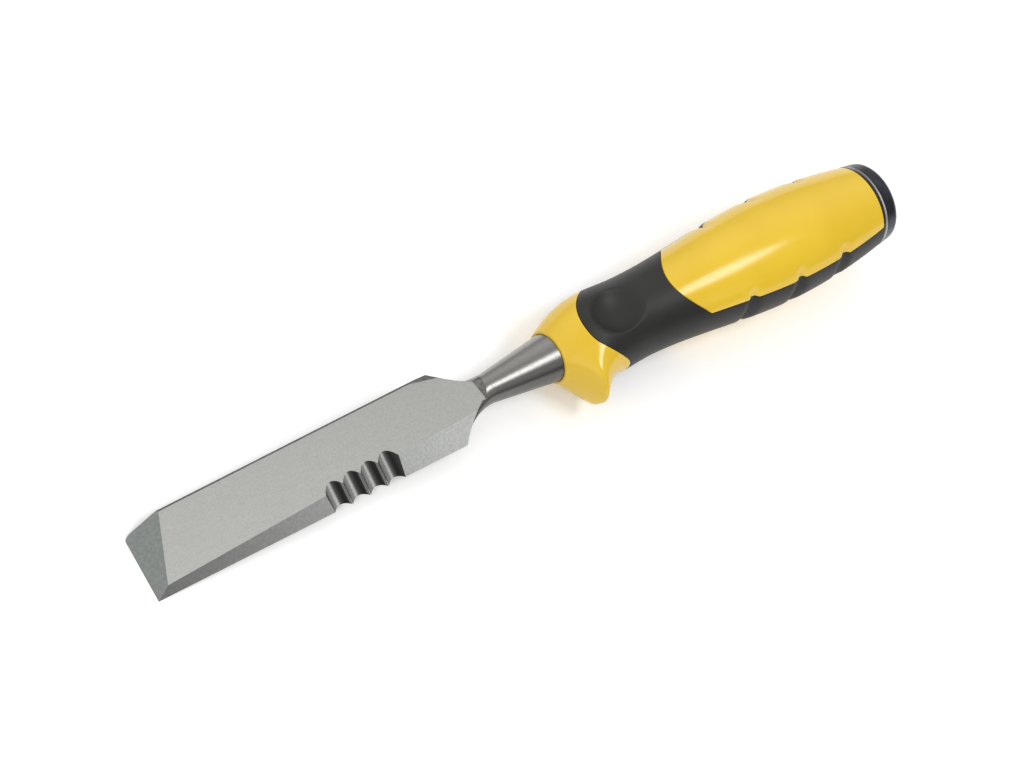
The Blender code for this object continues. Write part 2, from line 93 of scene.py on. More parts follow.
def pickEdges(piece, test):  # edit mode with only the edges whose two ends pass
    pickOnly(piece)
    mesh = piece.data
    for part in (mesh.vertices, mesh.polygons):
        part.foreach_set("select", np.zeros(len(part), dtype=bool))
    for edge in mesh.edges:
        a, b = (mesh.vertices[i].co for i in edge.vertices)
        edge.select = test(a, b)
    bpy.context.tool_settings.mesh_select_mode = (False, True, False)
    bpy.ops.object.mode_set(mode='EDIT')


def carve(piece, tool, how):  # a Boolean that uses the tool up
    pickOnly(piece)
    step = piece.modifiers.new(how.lower(), 'BOOLEAN')
    step.operation = how
    step.object = tool
    step.solver = 'EXACT'
    bpy.ops.object.modifier_apply(modifier=step.name)
    bpy.data.objects.remove(tool, do_unlink=True)


def joinAll(pieces, name):
    pickOnly(pieces[0])
    for piece in pieces:
        piece.select_set(True)
    bpy.ops.object.join()
    pieces[0].name = name
    return pieces[0]


def tidyMesh(piece, merge):
    editOn(piece)
    bpy.ops.mesh.select_all(action='SELECT')
    bpy.ops.mesh.remove_doubles(threshold=merge)
    bpy.ops.mesh.normals_make_consistent(inside=False)
    editOff()


def raiseSheet(sheet, height):  # a bent sheet becomes a closed block
    editOn(sheet)
    bpy.ops.mesh.select_all(action='SELECT')
    bpy.ops.mesh.extrude_region_move(TRANSFORM_OT_translate={"value": (0, 0, height)})
    editOff()
    tidyMesh(sheet, weld)
    return sheet


def splitFaces(piece):  # bent faces are split before a Boolean
    editOn(piece)
    bpy.ops.mesh.select_all(action='SELECT')
    bpy.ops.mesh.quads_convert_to_tris(quad_method='FIXED', ngon_method='BEAUTY')
    editOff()


def roundEdges(piece, width, steps, angle):  # small rounds on the crisp edges
    pickOnly(piece)
    rim = piece.modifiers.new("rim", 'BEVEL')
    rim.width = width
    rim.segments = steps
    rim.limit_method = 'ANGLE'
    rim.angle_limit = math.radians(angle)
    rim.use_clamp_overlap = False
    bpy.ops.object.modifier_apply(modifier=rim.name)


def evenShade(piece, angle):
    pickOnly(piece)
    bpy.ops.object.shade_smooth_by_angle(angle=math.radians(angle))
    even = piece.modifiers.new("even", 'WEIGHTED_NORMAL')
    even.keep_sharp = True
    bpy.ops.object.modifier_apply(modifier=even.name)


# blade: a bar ground flat by flat, then the neck is welded on
bladeSet = {
    "stockRear": 20 * mm, "stockAhead": 8 * mm,   # the uncut bar, from the lip and past the tip
    "stockFar": -24 * mm, "stockTop": 14 * mm,
    "edgeY": 13.4 * mm,        # side cutting edge
    "backZ": -2.75 * mm,       # flat back
    "thick": 5.15 * mm,        # at the tip, over the foot of the spine
    "taper": 0.0224,           # gain in thickness per length toward the neck
    "crossFall": 0.154,        # loss in thickness per width toward the edge
    "spineY": -9.8 * mm,       # foot of the spine at the tip
    "spineFlare": math.radians(0.29),
    "spineLean": math.radians(20),
    "spineLong": 50 * mm,      # shorter edges aren't the spine's
    "spineRound": 1.9 * mm,    # lower edge of the spine
    "spineSteps": 8,
    "spineChamfer": 0.78 * mm,  # upper edge of the spine, over the face
    "chamferLean": 0.577,      # share of the flank in the way it faces
    "endBevel": math.radians(25),
    "endSkew": math.radians(4.9),
    "sideBevel": math.radians(37),
    "faceFar": (31.17 * mm, -3.13 * mm),   # the ground face ends between these, from the lip
    "faceNear": (29.97 * mm, 3.16 * mm),
    "faceGap": 0.05 * mm,      # the bar stops this far ahead of that line
    "nearShoulder": 42.0 * mm,
    "farShoulder": 44.8 * mm,
    "nearSag": 1.0 * mm,       # hollow of the shoulders
    "farSag": 0.75 * mm,
    "drumSides": 256, "drumHeight": 60 * mm,   # cutter of the shoulders
    "facetLength": 10.9 * mm,  # facet on the far shoulder corner
    "facetTurn": math.radians(15.4),
    "facetTilt": math.radians(10.7),
    "edgeSoft": 0.09 * mm, "edgeSteps": 2, "edgeAngle": 32,
    "flatMatch": 0.9,          # a face that turns further from every flat gets the spine's dark steel, painted shade
    "weld": 0.0003 * mm, "shadeAngle": 15,
}
scallopSet = {
    "count": 4, "reach": 71.5 * mm, "pitch": 7.2 * mm, "radius": 6.6 * mm, "depth": 1.58 * mm,
    "rise": math.radians(32.6), "skew": math.radians(9.65), "sides": 192, "cutterLength": 80 * mm,
    "wallSlack": 0.02 * mm, "wallTilt": 0.01,   # what still counts as a scallop's wall
}
neckSet = {
    "seat": 2.0 * mm, "radius": 8.4 * mm, "thin": 4.95 * mm, "length": 27.4 * mm, "flareStart": 25.6 * mm,
    "nearSpread": 12.4 * mm, "farSpread": 8.6 * mm, "flarePower": 2.25, "rings": 24, "sides": 128,
    "endSink": 0.3 * mm, "faceSink": 0.04 * mm, "tang": 4.5 * mm, "tangEnd": 3.0 * mm,
    "wheelSize": 60 * mm, "wheelReach": 50 * mm, "wheelHeight": 25 * mm,   # block that grinds it flush
    "wheelGap": 0.11 * mm,                        # it stops this far ahead of the face's end
    "socketOver": 3 * mm, "holeOver": 20 * mm,    # how far the cutters of its holes stand out
}
runOutSet = {   # where the grinding of the face fades out on the neck
    "reach": 28.4 * mm, "skew": 0.2, "curl": 0.017 / mm ** 2, "far": -3.9 * mm, "near": 3.4 * mm,
    "sink": 0.02 * mm, "depth": 1.6 * mm, "rows": 48,
    "edgeShare": 1.04, "lap": 1.2 * mm,           # it laps past the end of the face
    "cutHeight": 8 * mm, "cutTrim": 0.06 * mm, "trimSpan": 3.5 * mm,   # the cut before it is smaller
}
# the way each ground flat faces
faceWay = Vector((bladeSet["taper"], bladeSet["crossFall"], 1)).normalized()
endAhead = Vector((math.cos(bladeSet["endSkew"]), -math.sin(bladeSet["endSkew"]), 0))
endWay = endAhead * math.sin(bladeSet["endBevel"]) + up * math.cos(bladeSet["endBevel"])
sideWay = Vector((0, math.sin(bladeSet["sideBevel"]), math.cos(bladeSet["sideBevel"])))
spineOut = Vector((-math.sin(bladeSet["spineFlare"]), -math.cos(bladeSet["spineFlare"]), 0))
flankWay = spineOut * math.cos(bladeSet["spineLean"]) - up * math.sin(bladeSet["spineLean"])
chamferWay = (faceWay + flankWay * bladeSet["chamferLean"]).normalized()
facetOut = Vector((-math.sin(bladeSet["facetTurn"]), -math.cos(bladeSet["facetTurn"]), 0))
facetWay = facetOut * math.sin(bladeSet["facetTilt"]) + up * math.cos(bladeSet["facetTilt"])
# the blade's finishes, in the order of its slots
groundFinish, shadedBevelFinish, litEdgeFinish, scallopFinish, shadedSpineFinish, neckFinish = range(6)


def faceZ(x, y):  # height of the ground face
    b = bladeSet
    return b["backZ"] + b["thick"] + b["taper"] * (tipX - x) - b["crossFall"] * (y - b["spineY"])


def spineTop(x):  # where the spine meets the ground face
    b = bladeSet
    footY = b["spineY"] + (tipX - x) * math.tan(b["spineFlare"])
    rise = (faceZ(x, footY) - b["backZ"]) / (1 - b["crossFall"] * math.tan(b["spineLean"]))
    return Vector((x, footY - rise * math.tan(b["spineLean"]), b["backZ"] + rise))


def grind(point, normal):  # cut away what lies beyond a plane
    bpy.ops.mesh.select_all(action='SELECT')
    bpy.ops.mesh.bisect(plane_co=point, plane_no=normal, use_fill=True, clear_outer=True)


def roundCutter(start, end, sag):  # upright drum whose side passes through both points with that hollow
    chord = end - start
    radius = (chord.length ** 2 / 4 + sag ** 2) / (2 * sag)
    out = Vector((-chord.y, chord.x)).normalized()
    middle = (start + end) / 2 + out * (radius - sag)
    bpy.ops.mesh.primitive_cylinder_add(vertices=bladeSet["drumSides"], radius=radius,
                                        depth=bladeSet["drumHeight"], location=(middle.x, middle.y, 0))
    return bpy.context.object


def faceEnd():  # both ends of the line where the ground face stops, and the way on to the neck
    b = bladeSet
    far, near = (Vector((lipX + x, y, faceZ(lipX + x, y))) for x, y in (b["faceFar"], b["faceNear"]))
    chord = (far - near).to_2d()
    return far, near, Vector((chord.y, -chord.x, 0)).normalized()


def makeBar():
    b = bladeSet
    startX, endX = lipX + b["stockRear"], tipX + b["stockAhead"]
    far, near = b["stockFar"], b["edgeY"]
    low, high = b["backZ"], b["stockTop"]
    middle = ((startX + endX) / 2, (far + near) / 2, (low + high) / 2)
    bpy.ops.mesh.primitive_cube_add(size=1, location=middle, scale=(endX - startX, near - far, high - low))
    bar = settle(bpy.context.object, "bladeBar")
    foot = Vector((tipX, b["spineY"], b["backZ"]))
    corner = Vector((tipX, b["edgeY"], b["backZ"]))
    faceFar, faceNear, rearWay = faceEnd()
    editOn(bar)
    grind(foot + up * b["thick"], faceWay)
    grind(foot, flankWay)
    grind(faceFar - rearWay * b["faceGap"], rearWay)
    editOff()
    pickEdges(bar, lambda a, c: max(a.z, c.z) < low + touch and max(a.y, c.y) < 0
              and abs(a.x - c.x) > b["spineLong"])
    turn = math.pi / 2 - b["spineLean"]
    bpy.ops.mesh.bevel(offset=b["spineRound"] * math.tan(turn / 2), segments=b["spineSteps"],
                       affect='EDGES')
    grind(spineTop(tipX) + Vector((0, 1, -b["crossFall"])).normalized() * b["spineChamfer"], chamferWay)
    grind(corner, sideWay)
    grind(corner, endWay)
    grind(spineTop(lipX + b["farShoulder"] + b["facetLength"]), facetWay)
    editOff()
    farCorner = spineTop(lipX + b["farShoulder"]).to_2d()
    carve(bar, roundCutter(farCorner, faceFar.to_2d(), b["farSag"]), 'DIFFERENCE')
    nearCorner = Vector((lipX + b["nearShoulder"], b["edgeY"]))
    carve(bar, roundCutter(faceNear.to_2d(), nearCorner, b["nearSag"]), 'DIFFERENCE')
    return bar


def neckSection(reach):  # half width, half height and middle of the neck, at a reach from the lip
    n, b = neckSet, bladeSet
    radius = n["radius"] + (n["thin"] - n["radius"]) * min(reach, n["flareStart"]) / n["length"]
    if reach <= n["flareStart"]:
        return radius, radius, 0, 0
    share = (reach - n["flareStart"]) / (b["nearShoulder"] - n["flareStart"])
    flare = share ** n["flarePower"]
    near = radius + (n["nearSpread"] - radius) * flare
    far = radius + (n["farSpread"] - radius) * flare
    tall = radius * (1 - share ** 2)
    fall = share * n["rings"] / (n["rings"] - 1)
    low = radius + (-b["backZ"] - n["endSink"] - radius) * fall ** 2
    return (near + far) / 2, tall, (near - far) / 2, tall - low


def makeNeck():
    n, r = neckSet, runOutSet
    rear = lipX - n["seat"]
    radius = neckSection(-n["seat"])[0]
    bpy.ops.mesh.primitive_circle_add(vertices=n["sides"], radius=radius, fill_type='NGON',
                                      location=(rear, 0, 0), rotation=(0, math.pi / 2, 0))
    neck = settle(bpy.context.object, "neck")
    step = (bladeSet["nearShoulder"] - n["flareStart"]) / n["rings"]
    editOn(neck)
    bpy.ops.mesh.select_all(action='SELECT')
    lastX, wide, high, midY, midZ = rear, radius, radius, 0, 0
    for i in range(n["rings"]):
        reach = n["flareStart"] + step * i
        newWide, newHigh, newY, newZ = neckSection(reach)
        x = lipX + reach
        move = (x - lastX, newY - midY, newZ - midZ)
        bpy.ops.mesh.extrude_region_move(TRANSFORM_OT_translate={"value": move})
        bpy.ops.transform.resize(value=(1, newWide / wide, newHigh / high), center_override=(x, newY, newZ))
        lastX, wide, high, midY, midZ = x, newWide, newHigh, newY, newZ
    editOff()
    pickFaces(neck, lambda c, normal: abs(c.x - rear) < touch)
    bpy.ops.mesh.extrude_region_move(TRANSFORM_OT_translate={"value": (0, 0, 0)})
    share = n["tang"] / radius
    bpy.ops.transform.resize(value=(1, share, share), center_override=(rear, 0, 0))
    bpy.ops.mesh.extrude_region_move(TRANSFORM_OT_translate={"value": (n["tangEnd"] - rear, 0, 0)})
    editOff()
    tidyMesh(neck, weld)
    splitFaces(neck)
    for face in neck.data.polygons:
        face.material_index = neckFinish
    bpy.ops.mesh.primitive_cube_add(size=n["wheelSize"],
                                    location=(lipX + n["wheelReach"], 0, n["wheelHeight"]))
    wheel = settle(bpy.context.object, "wheel")
    faceFar, faceNear, rearWay = faceEnd()
    editOn(wheel)
    grind(faceFar - up * n["faceSink"], -faceWay)
    grind(faceFar + Vector((n["wheelGap"], 0, 0)), rearWay)
    editOff()
    carve(neck, wheel, 'DIFFERENCE')
    carve(neck, runOut(r["cutHeight"], n["faceSink"], r["cutTrim"]), 'DIFFERENCE')
    splitFaces(neck)
    carve(neck, runOut(-r["depth"], 0, 0), 'UNION')
    splitFaces(neck)
    return neck


def runOut(height, sink, trim):  # ruled band from the end of the ground face to a curve on the neck
    r = runOutSet
    faceFar, faceNear, rearWay = faceEnd()
    bpy.ops.mesh.primitive_grid_add(x_subdivisions=2, y_subdivisions=r["rows"], size=2, location=(0, 0, 0))
    band = settle(bpy.context.object, "runOut")
    for point in band.data.vertices:
        share = (point.co.y * (1 - trim / r["trimSpan"]) + 1) / 2
        row = round(point.co.x)
        edge = faceFar.lerp(faceNear, share * r["edgeShare"])
        y = r["far"] + (r["near"] - r["far"]) * share
        reach = r["reach"] + r["skew"] * y + r["curl"] * max(y, 0) ** 3 + trim
        wide, tall, midY, midZ = neckSection(reach)
        rim = Vector((lipX + reach, y, midZ + tall * math.sqrt(1 - ((y - midY) / wide) ** 2)))
        over = edge + Vector((r["lap"] - trim, 0, 0))
        over.z = faceZ(over.x, over.y)
        point.co = (rim, edge, over)[row + 1]
        point.co.z -= sink + r["sink"] * (row + 1 - row * row)
    raiseSheet(band, height)
    splitFaces(band)
    # the band takes the spine's dark steel, painted shade
    for face in band.data.polygons:
        face.material_index = shadedSpineFinish
    return band


def scallopAxes():  # a point on each scallop's axis, and the way that the axes run
    b, s = bladeSet, scallopSet
    inward = Vector((math.sin(s["skew"]), -math.cos(s["skew"]), 0))
    along = inward * math.cos(s["rise"]) + up * math.sin(s["rise"])
    out = up * math.cos(s["rise"]) - inward * math.sin(s["rise"])
    floors = [Vector((lipX + s["reach"] + i * s["pitch"], b["edgeY"] - s["depth"], b["backZ"]))
              for i in range(s["count"])]
    return [floor + out * s["radius"] for floor in floors], along


def paintBar(bar):  # each face takes the finish of the flat that it lies on
    s = scallopSet
    middles, along = scallopAxes()
    ways = [(faceWay, groundFinish), (-up, groundFinish), (endWay, shadedBevelFinish), (sideWay, litEdgeFinish),
            (flankWay, shadedSpineFinish), (facetWay, shadedSpineFinish), (chamferWay, shadedSpineFinish)]
    for face in bar.data.polygons:
        score, finish = max((face.normal.dot(way), finish) for way, finish in ways)
        away = min((face.center - middle).cross(along).length for middle in middles)
        if away < s["radius"] + s["wallSlack"] and abs(face.normal.dot(along)) < s["wallTilt"]:
            finish = scallopFinish
        elif score < bladeSet["flatMatch"]:
            finish = shadedSpineFinish
        face.material_index = finish


def makeBlade(finishes):
    b, s = bladeSet, scallopSet
    blade = makeBar()
    roundEdges(blade, b["edgeSoft"], b["edgeSteps"], b["edgeAngle"])
    middles, along = scallopAxes()
    turn = along.to_track_quat('Z', 'X').to_euler()
    for middle in middles:
        bpy.ops.mesh.primitive_cylinder_add(vertices=s["sides"], radius=s["radius"], depth=s["cutterLength"],
                                            location=middle, rotation=turn)
        carve(blade, bpy.context.object, 'DIFFERENCE')
    paintBar(blade)
    neck = makeNeck()
    for finish in finishes:
        blade.data.materials.append(finish)
        neck.data.materials.append(finish)
    splitFaces(blade)
    carve(blade, neck, 'UNION')
    blade.name = "blade_forging"
    tidyMesh(blade, b["weld"])
    evenShade(blade, b["shadeAngle"])
    return blade


# handle: one dense skin of revolution, pressed into shape, then parted into hard core and soft grip
handleSet = {
    "sides": 288, "rows": 270,
    "blank": 10 * mm,             # radius of the skin before it is pressed
    "lip": 9.2 * mm,
    "collar": 14.9 * mm, "collarBack": 20.0 * mm,
    "waist": 14.2 * mm, "waistBack": 35.6 * mm,
    "belly": 18.4 * mm, "bellyBack": 95.6 * mm,
    "tail": 14.65 * mm,
    "palmShift": 1.2 * mm,        # the tail leans to the finger side
    "guardReach": 22.3 * mm, "guardBack": 8.8 * mm, "guardEnd": 21.6 * mm,
    "guardFront": 1.4, "guardRear": 1.95, "guardSharp": 2.6,
    "guardBlunt": 2.42 * mm, "guardSpread": 52 * mm,   # its crest is crisp at the tip, broad at the roots
    "guardLead": 3.4 * mm, "guardSoft": 0.5 * mm,      # and the roots run forward and fade out
    "guardMakeUp": 0.475 * mm,                         # what the fading takes off the tip
    "lipRound": 0.3 * mm, "tailRound": 0.5 * mm, "rimCuts": 6,
    "dimpleBack": 23.9 * mm, "dimpleY": -0.9 * mm, "dimpleRadius": 14.6 * mm, "dimpleDepth": 4.7 * mm,
    "dimpleRim": 0.5 * mm,
    "grooves": 3, "grooveBack": 74.3 * mm, "groovePitch": 20.2 * mm,
    "grooveWidth": 4.6 * mm, "grooveDepth": 1.9 * mm, "grooveFade": 2.6 * mm, "grooveRim": 0.2 * mm,
    "pressShare": 0.98,           # dimple and grooves press with this much of their round
    "weld": 0.02 * mm, "shadeAngle": 38,
}
partingSet = {
    "collarTop": 9.85 * mm, "collarBow": 8.9 * mm, "collarTurn": 5.4 * mm,   # where the grip starts
    "noseBack": 46.0 * mm, "noseY": -0.5 * mm, "noseBow": 55.5,              # bow in 1/m
    "panelZ": 6.3 * mm, "panelTilt": 0.083,
    "tailBack": 100 * mm, "tailZ": 6.75 * mm, "tailTilt": 0.05, "tailRing": 0.9 * mm,
    "gripThick": 2.2 * mm,
    "roomSize": 60 * mm, "roomHeight": 40 * mm, "roomSteps": 120, "roomRows": 30,   # the cutters
    "innerSides": 96,
    "bodyRows": 60, "bodyShort": 4 * mm,                             # core under the grip
    "hollowRows": 64, "hollowShort": 3 * mm, "hollowPast": 4 * mm,   # inside of the grip
}


def ease(start, end, share):
    share = np.clip(share, 0, 1)
    return start + (end - start) * share * share * (3 - 2 * share)


def softMin(a, b, blend):  # the lower of two surfaces, with a fillet between them
    share = np.clip(0.5 + 0.5 * (b - a) / blend, 0, 1)
    return b + (a - b) * share - blend * share * (1 - share)


def handleRadius(back):
    h = handleSet
    endBack = lipX - tailX
    bow = h["lip"] + (h["collar"] - h["lip"]) * (1 - (1 - back / h["collarBack"]) ** 2)
    waist = ease(h["collar"], h["waist"], (back - h["collarBack"]) / (h["waistBack"] - h["collarBack"]))
    palm = ease(h["waist"], h["belly"], (back - h["waistBack"]) / (h["bellyBack"] - h["waistBack"]))
    share = (back - h["bellyBack"]) / (endBack - h["bellyBack"])
    tail = h["belly"] - (h["belly"] - h["tail"]) * share ** 2
    stages = [back < h["collarBack"], back < h["waistBack"], back < h["bellyBack"]]
    return np.select(stages, [bow, waist, palm], tail)


def handleLean(back):
    h = handleSet
    share = (back - h["waistBack"]) / (lipX - tailX - h["waistBack"])
    return h["palmShift"] * np.maximum(share, 0)


def guardHeight(back, turn):  # how far the finger guard stands out of the collar
    h = handleSet
    full = h["guardReach"] + h["guardMakeUp"] - handleRadius(np.array(h["guardBack"]))
    crest = h["guardBack"] - h["guardLead"] * np.sin(turn) ** 2
    rise = full * np.clip(back / crest, 0, None) ** h["guardFront"]
    fallShare = np.clip((h["guardEnd"] - back) / (h["guardEnd"] - crest), 0, None)
    fall = full * fallShare ** h["guardRear"]
    blend = h["guardBlunt"] + h["guardSpread"] * np.sin(turn) ** 4
    height = np.maximum(softMin(rise, fall, blend), 0)
    height = height * height / (height + h["guardSoft"])
    return height * np.maximum(np.cos(turn), 0) ** h["guardSharp"]


def rimLoss(back):  # the skin's rims are rounded
    h = handleSet
    loss = np.zeros_like(back)
    for gap, rim in ((back, h["lipRound"]), (lipX - tailX - back, h["tailRound"])):
        into = np.clip(rim - gap, 0, rim)
        loss += rim - np.sqrt(rim ** 2 - into ** 2)
    return loss


def pressSkin(skin, inset, withGuard):
    h = handleSet
    mesh = skin.data
    points = np.empty(len(mesh.vertices) * 3)
    mesh.vertices.foreach_get("co", points)
    points = points.reshape(-1, 3)
    back = lipX - points[:, 0]
    turn = np.arctan2(points[:, 2], points[:, 1])  # 0 on the finger side
    reach = handleRadius(back)
    for i in range(h["grooves"]):
        grooveBack = h["grooveBack"] + i * h["groovePitch"]
        half = h["grooveWidth"] / 2
        tube = (half ** 2 + h["grooveDepth"] ** 2) / (2 * h["grooveDepth"])
        ring = handleRadius(np.array(grooveBack)) + tube
        middle = 1 / np.hypot(np.cos(turn) / (ring - h["grooveDepth"]),
                              np.sin(turn) / (ring + h["grooveFade"]))
        floor = middle - np.sqrt(np.clip(tube ** 2 - (back - grooveBack) ** 2, 0, None))
        near = np.abs(back - grooveBack) < tube * h["pressShare"]
        reach = np.where(near, softMin(reach, floor, h["grooveRim"]), reach)
    reach = reach - inset
    if withGuard:
        reach = reach + guardHeight(back, turn) - rimLoss(back)
    y = handleLean(back) + reach * np.cos(turn)
    z = reach * np.sin(turn)
    ball = h["dimpleRadius"] + inset
    ballZ = handleRadius(np.array(h["dimpleBack"])) - h["dimpleDepth"] + h["dimpleRadius"]
    spread = (back - h["dimpleBack"]) ** 2 + (y - h["dimpleY"]) ** 2
    bowl = ballZ - np.sqrt(np.clip(ball ** 2 - spread, 0, None))
    near = (z > 0) & (spread < (ball * h["pressShare"]) ** 2)
    points[:, 1] = y
    points[:, 2] = np.where(near, softMin(z, bowl, h["dimpleRim"]), z)
    mesh.vertices.foreach_set("co", points.ravel())
    mesh.update()


def makeSkin(name, inset, sides, rows, startX, endX, withGuard):
    bpy.ops.mesh.primitive_cylinder_add(vertices=sides, radius=handleSet["blank"], depth=endX - startX,
                                        end_fill_type='NGON', location=((startX + endX) / 2, 0, 0),
                                        rotation=(0, math.pi / 2, 0))
    skin = settle(bpy.context.object, name)
    pickEdges(skin, lambda a, b: abs(a.x - b.x) > touch)
    bpy.ops.mesh.subdivide(number_cuts=rows - 1)
    editOff()
    if withGuard:
        for rim in (startX, endX):
            pickEdges(skin, lambda a, b: abs(a.x - b.x) > touch
                      and min(abs(a.x - rim), abs(b.x - rim)) < touch)
            bpy.ops.mesh.subdivide(number_cuts=handleSet["rimCuts"])
            editOff()
    pressSkin(skin, inset, withGuard)
    return skin


def collarRoom(shift):  # space in front of the edge where the grip starts
    p, h = partingSet, handleSet
    size = p["roomSize"]
    bpy.ops.mesh.primitive_grid_add(x_subdivisions=1, y_subdivisions=p["roomSteps"], size=size,
                                    location=(lipX, 0, -size / 2))
    room = settle(bpy.context.object, "collarRoom")
    for point in room.data.vertices:
        if point.co.x < lipX:
            share = min(abs(point.co.y) / h["collar"], 1)
            point.co.x = (lipX - p["collarTop"] - p["collarBow"] * share ** 2
                          - p["collarTurn"] * share ** 4 - shift)
    return raiseSheet(room, size)


def panelRoom(shift, side):  # space over a bare panel: bowed nose, then the full width to the tail ring
    p = partingSet
    size = p["roomSize"]
    bpy.ops.mesh.primitive_grid_add(x_subdivisions=p["roomRows"], y_subdivisions=p["roomSteps"], size=size,
                                    location=(0, 0, 0))
    room = settle(bpy.context.object, "panelRoom")
    rearX = tailX + p["tailRing"] + shift
    for point in room.data.vertices:
        y = point.co.y
        share = 0.5 + point.co.x / size
        noseX = lipX - p["noseBack"] - p["noseBow"] * (y - p["noseY"]) ** 2 - shift
        point.co.x = rearX + (noseX - rearX) * share
        late = max((lipX - point.co.x - p["tailBack"]) / (lipX - tailX - p["tailBack"]), 0)
        level = p["panelZ"] + (p["tailZ"] - p["panelZ"]) * late
        tilt = p["panelTilt"] + (p["tailTilt"] - p["panelTilt"]) * late
        point.co.z = side * (level + tilt * y + shift)
    return raiseSheet(room, side * p["roomHeight"])


def roundRod(startX, endX, startRadius, endRadius):
    bpy.ops.mesh.primitive_cone_add(vertices=neckSet["sides"], radius1=startRadius, radius2=endRadius,
                                    depth=endX - startX, location=((startX + endX) / 2, 0, 0),
                                    rotation=(0, math.pi / 2, 0))
    return settle(bpy.context.object, "rod")


def makeCore():
    p, h, n = partingSet, handleSet, neckSet
    skin = makeSkin("handle_yellow", 0, h["sides"], h["rows"], tailX, lipX, True)
    rooms = joinAll([collarRoom(0), panelRoom(seam, 1), panelRoom(seam, -1)], "rooms")
    carve(skin, rooms, 'INTERSECT')
    body = makeSkin("body", p["gripThick"] + seam, p["innerSides"], p["bodyRows"],
                    tailX, lipX - p["bodyShort"], False)
    carve(skin, body, 'UNION')
    slope = (n["thin"] - n["radius"]) / n["length"]
    seat = n["seat"] + fit
    over = n["socketOver"]
    socket = roundRod(lipX - seat, lipX + over,
                      n["radius"] - slope * seat + fit, n["radius"] + slope * over + fit)
    carve(skin, socket, 'DIFFERENCE')
    hole = n["tang"] + fit
    carve(skin, roundRod(-n["holeOver"], lipX + n["holeOver"], hole, hole), 'DIFFERENCE')
    tidyMesh(skin, h["weld"])
    evenShade(skin, h["shadeAngle"])
    return skin


def makeGrip():
    p, h = partingSet, handleSet
    skin = makeSkin("grip_rubber", 0, h["sides"], h["rows"], tailX, lipX, True)
    hollow = makeSkin("hollow", p["gripThick"], p["innerSides"], p["hollowRows"],
                      tailX - p["hollowPast"], lipX - p["hollowShort"], False)
    rooms = joinAll([collarRoom(seam), panelRoom(0, 1), panelRoom(0, -1)], "rooms")
    carve(skin, rooms, 'DIFFERENCE')
    carve(skin, hollow, 'DIFFERENCE')
    tidyMesh(skin, h["weld"])
    evenShade(skin, h["shadeAngle"])
    return skin


# strike cap: a turned steel button
capSet = {
    "taper": 0.6 * mm, "chamfer": 0.5 * mm, "rimRound": 3.0 * mm, "rimSteps": 12, "turnSteps": 160,
    "socket": 4.0 * mm, "socketOver": 5 * mm,
    "edgeSoft": 0.06 * mm, "edgeSteps": 2, "edgeAngle": 30, "shadeAngle": 30,
    "glintReach": 0.55 * mm, "glintFacing": 0.4,   # the front chamfer is painted bright, a painted highlight
}


def makeCap():
    c, h, n = capSet, handleSet, neckSet
    rim = h["tail"]
    face = rim - c["taper"]
    middle = (0, h["palmShift"], 0)
    profile = []
    for i in range(c["rimSteps"] + 1):
        turn = math.pi / 2 * i / c["rimSteps"]
        profile.append((c["rimRound"] * (1 - math.cos(turn)), face - c["rimRound"] * (1 - math.sin(turn))))
    profile.append((capX - c["chamfer"], rim))
    profile.append((capX, rim - c["chamfer"]))
    radius = profile[0][1]
    bpy.ops.mesh.primitive_circle_add(vertices=c["turnSteps"], radius=radius, fill_type='NGON',
                                      location=middle, rotation=(0, math.pi / 2, 0))
    cap = settle(bpy.context.object, "strike_button")
    editOn(cap)
    bpy.ops.mesh.select_all(action='SELECT')
    lastX = 0
    for x, newRadius in profile[1:]:
        bpy.ops.mesh.extrude_region_move(TRANSFORM_OT_translate={"value": (x - lastX, 0, 0)})
        bpy.ops.transform.resize(value=(1, newRadius / radius, newRadius / radius),
                                 center_override=(x, middle[1], 0))
        lastX, radius = x, newRadius
    editOff()
    tidyMesh(cap, weld)
    hole = n["tang"] + fit
    carve(cap, roundRod(capX - c["socket"], capX + c["socketOver"], hole, hole), 'DIFFERENCE')
    roundEdges(cap, c["edgeSoft"], c["edgeSteps"], c["edgeAngle"])
    evenShade(cap, c["shadeAngle"])
    return cap


# finishes
noiseLow, noiseHigh = 0.3, 0.7   # most of the noise lies between these


def newFinish(name):
    finish = bpy.data.materials.new(name)
    finish.use_nodes = True
    nodes = finish.node_tree.nodes
    links = finish.node_tree.links
    shader = nodes["Principled BSDF"]
    place = nodes.new("ShaderNodeTexCoord")
    return finish, nodes, links, shader, place.outputs["Object"]


def grain(nodes, links, place, scale, stretch=(1, 1, 1), detail=3):  # noise, stretched by a mapping
    mapping = nodes.new("ShaderNodeMapping")
    mapping.inputs["Scale"].default_value = stretch
    links.new(place, mapping.inputs["Vector"])
    noise = nodes.new("ShaderNodeTexNoise")
    noise.inputs["Scale"].default_value = scale
    noise.inputs["Detail"].default_value = detail
    links.new(mapping.outputs["Vector"], noise.inputs["Vector"])
    return noise.outputs["Fac"]


def ramp(nodes, links, value, stops):
    band = nodes.new("ShaderNodeValToRGB")
    for i, (at, colour) in enumerate(stops):
        stop = band.color_ramp.elements[i] if i < 2 else band.color_ramp.elements.new(at)
        stop.position = at
        stop.color = (*colour, 1)
    links.new(value, band.inputs["Fac"])
    return band.outputs["Color"]


def span(nodes, links, value, low, high):
    spread = nodes.new("ShaderNodeMapRange")
    spread.inputs["From Min"].default_value = noiseLow
    spread.inputs["From Max"].default_value = noiseHigh
    spread.inputs["To Min"].default_value = low
    spread.inputs["To Max"].default_value = high
    links.new(value, spread.inputs["Value"])
    return spread.outputs["Result"]


def dent(nodes, links, shader, height, strength, distance):
    bump = nodes.new("ShaderNodeBump")
    bump.inputs["Strength"].default_value = strength
    bump.inputs["Distance"].default_value = distance
    links.new(height, bump.inputs["Height"])
    links.new(bump.outputs["Normal"], shader.inputs["Normal"])


